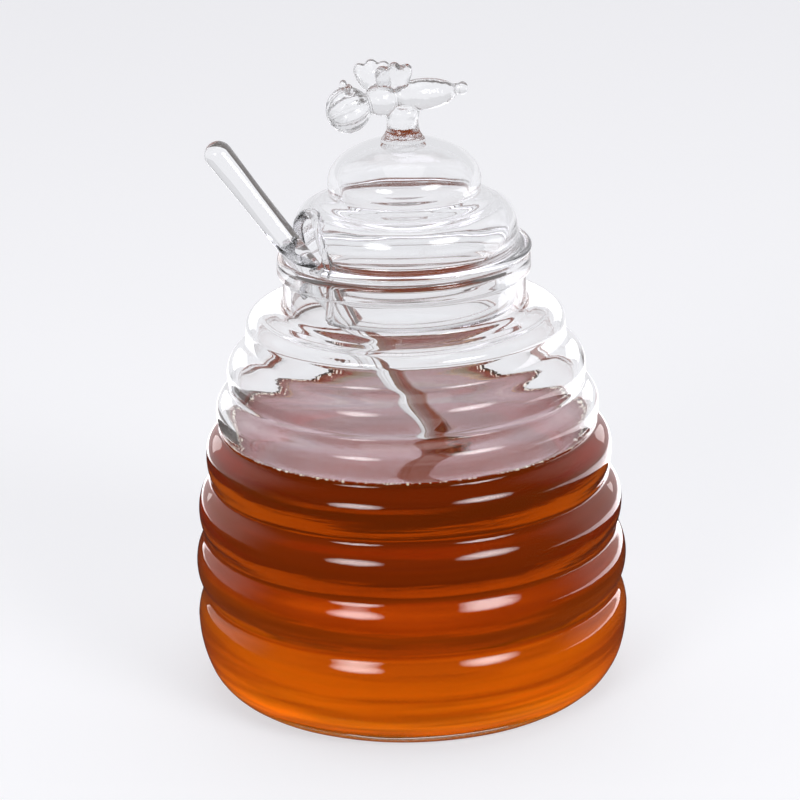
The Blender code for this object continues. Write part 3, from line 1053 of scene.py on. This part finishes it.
# %% [markdown]
# ## Honey
#
# Honey is clear too, but it drinks up blue and green light on the way through. A drop is pale gold, a
# jarful is deep amber and the thickest part is almost brown. That is not a surface colour: it depends on
# how far the light has travelled inside. So the surface is left clear, and the volume absorbs.
#
# Real honey also scatters a little light, and its foot looks lit from within. True scattering takes long
# to render, so a faint painted glow in the volume stands for it, stronger toward the foot. The painted glow
# is strongest in the thin rim at the bottom, where it stands for light that the glass foot bends into the
# honey. Faint level streaks of painted light and shade in the surface's tint, drawn out like the ones in
# the glass, keep the lowest ring from looking like one flat colour. The surface is a little hazy at the
# sides and clearer on top, where it mirrors the room.

# %% Honey material
HONEY_INDEX = 1.49
HONEY_ABSORBS = (0.959, 0.862, 0.005, 1.0)
HONEY_DENSITY = 240.0
HONEY_SKIN = (0.99, 0.97, 0.93, 1.0)
GLOW_TONE = (1.0, 0.36, 0.02, 1.0)
BODY_GLOW = 1.0
FOOT_GLOW = 4.5
FOOT_HEIGHTS = (12.0, 34.0)
RIM_GLOW = 22.0
RIM_HEIGHTS = (3.2, 6.5)
# Painted light and shade: the dark and pale level bands in the honey's tint.
STREAK_SHADE = (0.45, 0.33, 0.18, 1.0)
STREAK_LIGHT = (1.0, 0.98, 0.95, 1.0)
SIDE_HAZE = 0.13
TOP_HAZE = 0.07


def painted_streak_skin(tree, height):
    """The surface's tint: painted streaks of light and shade at the foot, and plain by the time it reaches
    the top.
    """
    streaks = noise_node(tree, scale=26.0, detail=2.0, where=(-300, 400), stretch=(0.6, 0.6, 13.0))
    bands = tree.nodes.new("ShaderNodeValToRGB")
    bands.location = (-100, 400)
    # Painted light and shade: dark and pale level bands in the honey's tint.
    dark, pale = bands.color_ramp.elements
    dark.position, dark.color = 0.40, STREAK_SHADE
    pale.position, pale.color = 0.57, STREAK_LIGHT
    tree.links.new(streaks.outputs["Fac"], bands.inputs["Fac"])
    start, end = FOOT_HEIGHTS[0] * MM, (HONEY_LEVEL - 4.0) * MM
    low = map_range(tree, height, start, end, 1.0, 0.0, (-300, 700))
    return mixed_colour(tree, low, HONEY_SKIN, bands.outputs["Color"], (100, 400))


def glowing_volume(tree, height):
    """The inside: it absorbs, and a painted glow grows faintly toward the foot."""
    absorb = tree.nodes.new("ShaderNodeVolumeAbsorption")
    absorb.location = (300, -420)
    absorb.inputs["Color"].default_value = HONEY_ABSORBS
    absorb.inputs["Density"].default_value = HONEY_DENSITY
    # Painted light: the glow grows from the body toward the foot.
    low, high = (value * MM for value in FOOT_HEIGHTS)
    foot = map_range(tree, height, low, high, FOOT_GLOW, BODY_GLOW, (-100, -560))
    # Painted light: a strong glow in the thin rim at the bottom, for light that the glass foot bends into
    # the honey.
    low, high = (value * MM for value in RIM_HEIGHTS)
    rim = map_range(tree, height, high, low, 0.0, RIM_GLOW, (-100, -800))
    glow = tree.nodes.new("ShaderNodeEmission")
    glow.location = (300, -560)
    glow.inputs["Color"].default_value = GLOW_TONE
    tree.links.new(math_node(tree, "ADD", foot, rim, (100, -640)), glow.inputs["Strength"])
    both = tree.nodes.new("ShaderNodeAddShader")
    both.location = (500, -480)
    tree.links.new(absorb.outputs["Volume"], both.inputs[0])
    tree.links.new(glow.outputs["Emission"], both.inputs[1])
    return both.outputs["Shader"]


def amber_honey():
    material, tree, shader = new_material("amber_honey")
    shader.inputs["IOR"].default_value = HONEY_INDEX
    shader.inputs["Transmission Weight"].default_value = 1.0
    shader.inputs["Specular Tint"].default_value = NO_MIRROR
    coordinates = tree.nodes.new("ShaderNodeTexCoord")
    coordinates.location = (-900, 0)
    split = tree.nodes.new("ShaderNodeSeparateXYZ")
    split.location = (-700, 0)
    tree.links.new(coordinates.outputs["Object"], split.inputs["Vector"])
    height = split.outputs["Z"]
    under, surface = (HONEY_LEVEL - 1.0) * MM, (HONEY_LEVEL - 0.2) * MM
    haze = map_range(tree, height, under, surface, SIDE_HAZE, TOP_HAZE)
    tree.links.new(haze, shader.inputs["Roughness"])
    tree.links.new(painted_streak_skin(tree, height), shader.inputs["Base Color"])
    ripple = noise_node(tree, scale=45.0, detail=1.0, where=(-300, -300))
    add_bump(tree, shader, ripple, strength=0.3, distance=0.08 * MM)
    tree.links.new(glowing_volume(tree, height), tree.nodes["Material Output"].inputs["Volume"])
    return material


honey.data.materials.clear()
honey.data.materials.append(amber_honey())
red, green = ((1 - HONEY_ABSORBS[k]) * HONEY_DENSITY for k in (0, 1))
print("honey absorbs red by %.1f and green by %.1f per metre" % (red, green))

# %% [markdown]
# ## Froth, and glass in honey
#
# The bubbles are too small to show that they are hollow. They read as pale beads, so they are nearly
# white and shine a little by themselves, as the jar's wall would otherwise keep the lights from them.
#
# The dipper's sunk end is glass inside honey. What bends light there is only the difference between the
# two, so the index to set is the glass's divided by the honey's, a little under 1. It is set closer still
# to 1 here, so the head all but disappears, as it does in dark honey.

# %% Froth and sunk glass
FROTH_TONE = (0.95, 0.91, 0.86, 1.0)
FROTH_SHINE = (1.0, 0.97, 0.92, 1.0)
GLASS_IN_HONEY_INDEX = 0.997


def froth():
    material, tree, shader = new_material("froth")
    shader.inputs["Base Color"].default_value = FROTH_TONE
    shader.inputs["Roughness"].default_value = 0.15
    shader.inputs["Transmission Weight"].default_value = 0.1
    shader.inputs["IOR"].default_value = 1.33
    shader.inputs["Emission Color"].default_value = FROTH_SHINE
    shader.inputs["Emission Strength"].default_value = 0.4
    grain = noise_node(tree, scale=900.0, detail=1.0, where=(-300, -300))
    add_bump(tree, shader, grain, strength=0.2, distance=0.05 * MM)
    return material


head.data.materials.append(clear_glass("glass_in_honey", GLASS_IN_HONEY_INDEX))
bubbles.data.materials.append(froth())
print("materials:", sorted(material.name for material in bpy.data.materials if material.users))

# %% [markdown]
# ## Stand in for the solids
#
# Nothing on this pot moves, so every piece rides on one body, the root. Each piece is listed with the solid
# it stands in for, and that solid is hidden. A slot for its material is listed as well, all the glass in
# one and the honey in the other, but nothing here uses it.

# %% Ride, and hide the solids
for piece, node, slot in (
    (jar, "jar", "clear_glass"),
    (lid, "lid", "clear_glass"),
    (dipper, "dipper", "clear_glass"),
    (head, "dipper", "clear_glass"),
    (honey, "honey", "honey"),
):
    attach(piece, "root")
    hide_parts(node)
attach(bubbles, "root")
print("6 pieces ride on the root body")

# %% [markdown]
# ## Floor
#
# Glass shows its surroundings more than itself, so the studio matters as much as the jar. Whoever lights
# glass puts a bright wall behind it and a dark card close round it: the wall makes it clear, and the card
# draws its edges. Both are bent into view by the glass, and they are only wanted there, not in the
# picture itself.
#
# Blender's Light Path node tells a shader who is asking. The camera gets a plain pale floor. Light that
# has come through glass gets the card near the pot and the bright wall beyond it. Light that bounces off
# glass gets nearly black for the card, and an extra bright strip just past it, which draws the white
# crescents on the rings' edges.

# %% Floor that glass sees otherwise
WALL_TONE = (0.86, 0.86, 0.89, 1.0)
FLOOR_TONE = (0.42, 0.42, 0.43, 1.0)
FLOOR_GLOW = 0.66
CARD_TONE = (0.15, 0.135, 0.13, 1.0)
CARD_MIRRORED = (0.03, 0.03, 0.03, 1.0)
CARD_RADIUS = 0.24
CARD_BACK = 0.141
CARD_SLANT = 0.3
SEEN_THROUGH = 1.06
STRIP_GLARE = 4.0
FAR_GLARE = 0.9
STRIP_FADE = (0.20, 0.30)


def wall_share(tree, split, mirrored):
    """1 where the wall shows and 0 where the card does, from the place on the floor in metres."""
    slanted = math_node(tree, "MULTIPLY", split.outputs["X"], CARD_SLANT, (-900, 0))
    back = math_node(tree, "ADD", split.outputs["Y"], slanted, (-700, 0))
    behind = math_node(tree, "GREATER_THAN", back, CARD_BACK, (-500, 0))
    across = math_node(tree, "MULTIPLY", split.outputs["X"], split.outputs["X"], (-900, 300))
    along = math_node(tree, "MULTIPLY", split.outputs["Y"], split.outputs["Y"], (-900, 500))
    away = math_node(tree, "ADD", across, along, (-700, 400))
    outside = math_node(tree, "GREATER_THAN", away, CARD_RADIUS**2, (-500, 400))
    through = math_node(tree, "SUBTRACT", 1.0, mirrored, (-500, 600))
    around = math_node(tree, "MULTIPLY", outside, through, (-300, 400))
    return math_node(tree, "MAXIMUM", behind, around, (-100, 200))


def glowing(tree, colour, strength, where):
    """Plain light of this colour, which is a tuple or a socket, as the strength is a number or a socket."""
    node = tree.nodes.new("ShaderNodeEmission")
    node.location = where
    if isinstance(colour, tuple):
        node.inputs["Color"].default_value = colour
    else:
        tree.links.new(colour, node.inputs["Color"])
    if isinstance(strength, float):
        node.inputs["Strength"].default_value = strength
    else:
        tree.links.new(strength, node.inputs["Strength"])
    return node.outputs["Emission"]


def pale_floor():
    material, tree, shader = new_material("pale_floor")
    shader.inputs["Base Color"].default_value = FLOOR_TONE
    shader.inputs["Roughness"].default_value = 0.75
    shader.inputs["Emission Color"].default_value = WALL_TONE
    shader.inputs["Emission Strength"].default_value = FLOOR_GLOW
    seen = tree.nodes.new("ShaderNodeLightPath")
    seen.location = (-1300, -300)
    mirrored = seen.outputs["Is Reflection Ray"]
    place = tree.nodes.new("ShaderNodeNewGeometry")
    place.location = (-1300, 200)
    split = tree.nodes.new("ShaderNodeSeparateXYZ")
    split.location = (-1100, 200)
    tree.links.new(place.outputs["Position"], split.inputs["Vector"])
    strip = map_range(tree, split.outputs["Y"], *STRIP_FADE, STRIP_GLARE, FAR_GLARE, (-700, -300))
    strength = map_range(tree, mirrored, 0.0, 1.0, SEEN_THROUGH, strip, (-500, -300))
    wall = glowing(tree, WALL_TONE, strength, (0, -200))
    card_tone = mixed_colour(tree, mirrored, CARD_TONE, CARD_MIRRORED, (-300, -600))
    card = glowing(tree, card_tone, 1.0, (0, -500))
    surroundings = mixed_shader(tree, wall_share(tree, split, mirrored), card, wall, (300, -300))
    either = mixed_shader(tree, seen.outputs["Is Camera Ray"], surroundings, shader.outputs[0], (600, 0))
    tree.links.new(either, tree.nodes["Material Output"].inputs["Surface"])
    return material


FLOOR_HALF = 4.0
FLOOR_GAP = 0.2
bm = bmesh.new()
bmesh.ops.create_grid(bm, x_segments=8, y_segments=8, size=FLOOR_HALF)
mesh = bpy.data.meshes.new("floor")
bm.to_mesh(mesh)
bm.free()
floor = add_piece("floor", mesh)
floor.location.z = -FLOOR_GAP * MM
floor.data.materials.append(pale_floor())
print("floor %.1f mm under the pot" % FLOOR_GAP)

# %% [markdown]
# ## Room
#
# The world is the rest of the room. To the camera it is the same pale tone everywhere. To light that
# comes through glass it is a white wall behind, which fades to a dim room in front. Mirrored light sees
# the front almost black, so that the honey's front isn't veiled.
#
# The honey's surface is a mirror that looks up at the wall behind, and there the wall is over twice as
# bright. Only that one path should see it: in through the jar, once off the honey, and out through the
# jar. The Light Path node counts it as one mirroring and three or four passes through glass.
#
# Light can also run along inside a wall of glass, mirrored again and again, and leave at the notch's
# edge. Blender gives up on such light early and leaves black patches, so the scene allows more turns.

# %% World
WALL_LEVEL = 0.9
FRONT_LEVEL = 0.42
FRONT_MIRRORED = 0.05
FRONT_TO_BACK = (-0.2, 0.45)
HIGH_WALL = 2.4
HIGH_WALL_TONE = (0.90, 0.88, 1.0, 1.0)
HIGH_WALL_LIFT = (0.18, 0.23)
HIGH_WALL_WIDTH = (0.35, 0.55)
MOST_TURNS = 24
MOST_OF_A_KIND = 20


def off_the_honey(tree, seen):
    """1 for light that was mirrored and went through 3 or 4 faces of glass, and otherwise 0."""
    passes = seen.outputs["Transmission Depth"]
    enough = math_node(tree, "GREATER_THAN", passes, 2.5, (-900, -300))
    not_more = math_node(tree, "LESS_THAN", passes, 4.5, (-900, -500))
    mirrored = math_node(tree, "GREATER_THAN", seen.outputs["Glossy Depth"], 0.5, (-900, -700))
    three_or_four = math_node(tree, "MULTIPLY", enough, not_more, (-700, -400))
    return math_node(tree, "MULTIPLY", three_or_four, mirrored, (-500, -500))


def studio_room():
    world = bpy.data.worlds.new("studio")
    world.use_nodes = True
    tree = world.node_tree
    plain = tree.nodes["Background"]
    plain.inputs["Color"].default_value = WALL_TONE
    room = tree.nodes.new("ShaderNodeBackground")
    room.location = (100, -200)
    coordinates = tree.nodes.new("ShaderNodeTexCoord")
    coordinates.location = (-1300, 100)
    split = tree.nodes.new("ShaderNodeSeparateXYZ")
    split.location = (-1100, 100)
    tree.links.new(coordinates.outputs["Generated"], split.inputs["Vector"])
    seen = tree.nodes.new("ShaderNodeLightPath")
    seen.location = (-1300, -400)
    mirrored = seen.outputs["Is Reflection Ray"]
    front = map_range(tree, mirrored, 0.0, 1.0, FRONT_LEVEL, FRONT_MIRRORED, (-700, 200))
    level = map_range(tree, split.outputs["Y"], *FRONT_TO_BACK, front, WALL_LEVEL, (-500, 200))
    level.node.interpolation_type = "SMOOTHSTEP"
    lifted = map_range(tree, split.outputs["Z"], *HIGH_WALL_LIFT, where=(-900, 0))
    behind = map_range(tree, split.outputs["Y"], *HIGH_WALL_WIDTH, where=(-900, -150))
    band = math_node(tree, "MULTIPLY", lifted, behind, (-500, -100))
    bright = math_node(tree, "MULTIPLY", band, off_the_honey(tree, seen), (-300, -200))
    extra = math_node(tree, "MULTIPLY", bright, HIGH_WALL - WALL_LEVEL, (-100, -200))
    tree.links.new(math_node(tree, "ADD", level, extra, (-100, 0)), room.inputs["Strength"])
    tone = mixed_colour(tree, bright, WALL_TONE, HIGH_WALL_TONE, (-100, -400))
    tree.links.new(tone, room.inputs["Color"])
    camera_sees = seen.outputs["Is Camera Ray"]
    either = mixed_shader(tree, camera_sees, room.outputs[0], plain.outputs[0], (300, 0))
    tree.links.new(either, tree.nodes["World Output"].inputs["Surface"])
    return world


scene = bpy.context.scene
scene.world = studio_room()
scene.view_settings.view_transform = "Standard"
scene.cycles.max_bounces = MOST_TURNS
scene.cycles.glossy_bounces = MOST_OF_A_KIND
scene.cycles.transmission_bounces = MOST_OF_A_KIND
print("light may turn", MOST_TURNS, "times")

# %% [markdown]
# ## Lights
#
# Two soft lights hang in front, left and right, and show as a short bright bar on each ring. A lamp seen
# through a cloth is bright in its middle and fades to its edge, so these fade too: a light's shader can
# read where on the light it is, and grow weaker away from the middle. Two wide weak lights stand behind,
# and a weak one hangs overhead. All of them show only where a face mirrors them straight. Seen through
# the honey they would be red patches, so light that has gone through glass doesn't meet them. The back
# ones light the jar alone.

# %% Soft lights
AIM = Vector((0.0, 0.0, 0.06))
jar_only = bpy.data.collections.new("jar_only")
jar_only.objects.link(jar)


def soft_light(name, turn, lift, distance, size, power, receivers=None):
    """An area light turned this far from the front (-Y) towards +X, lifted, and aimed at the pot."""
    data = bpy.data.lights.new(name, "AREA")
    data.shape = "RECTANGLE"
    data.size, data.size_y = size
    data.energy = power
    light = bpy.data.objects.new(name, data)
    scene.collection.objects.link(light)
    turn, lift = math.radians(turn), math.radians(lift)
    out = Vector((math.sin(turn) * math.cos(lift), -math.cos(turn) * math.cos(lift), math.sin(lift)))
    light.location = AIM + out * distance
    light.rotation_euler = (-out).to_track_quat("-Z", "Y").to_euler()
    light.visible_camera = False
    light.visible_transmission = False
    light.light_linking.receiver_collection = receivers
    return light


def fade_to_edge(light):
    """Full strength near the light's middle, and none at its edge."""
    light.data.use_nodes = True
    tree = light.data.node_tree
    emission = next(node for node in tree.nodes if node.type == "EMISSION")
    place = tree.nodes.new("ShaderNodeNewGeometry")
    place.location = (-1000, 0)
    from_middle = tree.nodes.new("ShaderNodeVectorMath")
    from_middle.location = (-800, 0)
    from_middle.operation = "SUBTRACT"
    from_middle.inputs[1].default_value = (0.5, 0.5, 0.0)
    tree.links.new(place.outputs["Parametric"], from_middle.inputs[0])
    split = tree.nodes.new("ShaderNodeSeparateXYZ")
    split.location = (-600, 0)
    tree.links.new(from_middle.outputs["Vector"], split.inputs["Vector"])
    across = math_node(tree, "MULTIPLY", split.outputs["X"], split.outputs["X"], (-400, 100))
    upwards = math_node(tree, "MULTIPLY", split.outputs["Y"], split.outputs["Y"], (-400, -100))
    away = math_node(tree, "ADD", across, upwards, (-200, 0))
    tree.links.new(map_range(tree, away, 0.25, 0.02, where=(0, 0)), emission.inputs["Strength"])


for name, turn in (("back_left", -158), ("back_right", 158)):
    soft_light(name, turn, lift=10, distance=1.3, size=(0.75, 0.46), power=2, receivers=jar_only)
front_left = soft_light("front_left", -31, lift=22, distance=1.3, size=(0.70, 0.50), power=14)
front_right = soft_light("front_right", 43, lift=30, distance=1.3, size=(0.80, 0.50), power=17)
fade_to_edge(front_left)
fade_to_edge(front_right)
soft_light("overhead", 0, lift=86, distance=1.4, size=(0.9, 0.9), power=4)

# %% [markdown]
# ## Camera
#
# The picture is taken from a little above, with a long lens from about 70 centimetres, which is why the
# rings show as flat ellipses. The camera is set from where it stands, how far it looks down and how far
# it is turned, with a slight roll, as from a tripod that doesn't stand quite level.

# %% Camera
CAMERA_PLACE = Vector((0.0, -649.04, 291.47))
CAMERA_DOWN = math.radians(19.18)
CAMERA_TURN = math.radians(-0.15)
CAMERA_ROLL = math.radians(-1.6)
LENS = 135.0
SENSOR = 36.0


def camera_axes():
    """The camera's own right, up and back, from its three angles."""
    level = math.cos(CAMERA_DOWN)
    ahead = Vector((math.sin(CAMERA_TURN) * level, math.cos(CAMERA_TURN) * level, -math.sin(CAMERA_DOWN)))
    right = Vector((math.cos(CAMERA_TURN), -math.sin(CAMERA_TURN), 0.0))
    up = right.cross(ahead)
    rolled_right = math.cos(CAMERA_ROLL) * right + math.sin(CAMERA_ROLL) * up
    rolled_up = -math.sin(CAMERA_ROLL) * right + math.cos(CAMERA_ROLL) * up
    return Matrix((rolled_right, rolled_up, -ahead)).transposed().to_4x4()


camera_data = bpy.data.cameras.new("camera")
camera_data.sensor_width = SENSOR
camera_data.lens = LENS
camera_data.clip_start = 0.01
camera = bpy.data.objects.new("camera", camera_data)
scene.collection.objects.link(camera)
camera.matrix_world = Matrix.Translation(CAMERA_PLACE * MM) @ camera_axes()
scene.camera = camera
print("camera looks down", round(math.degrees(CAMERA_DOWN), 1), "degrees")
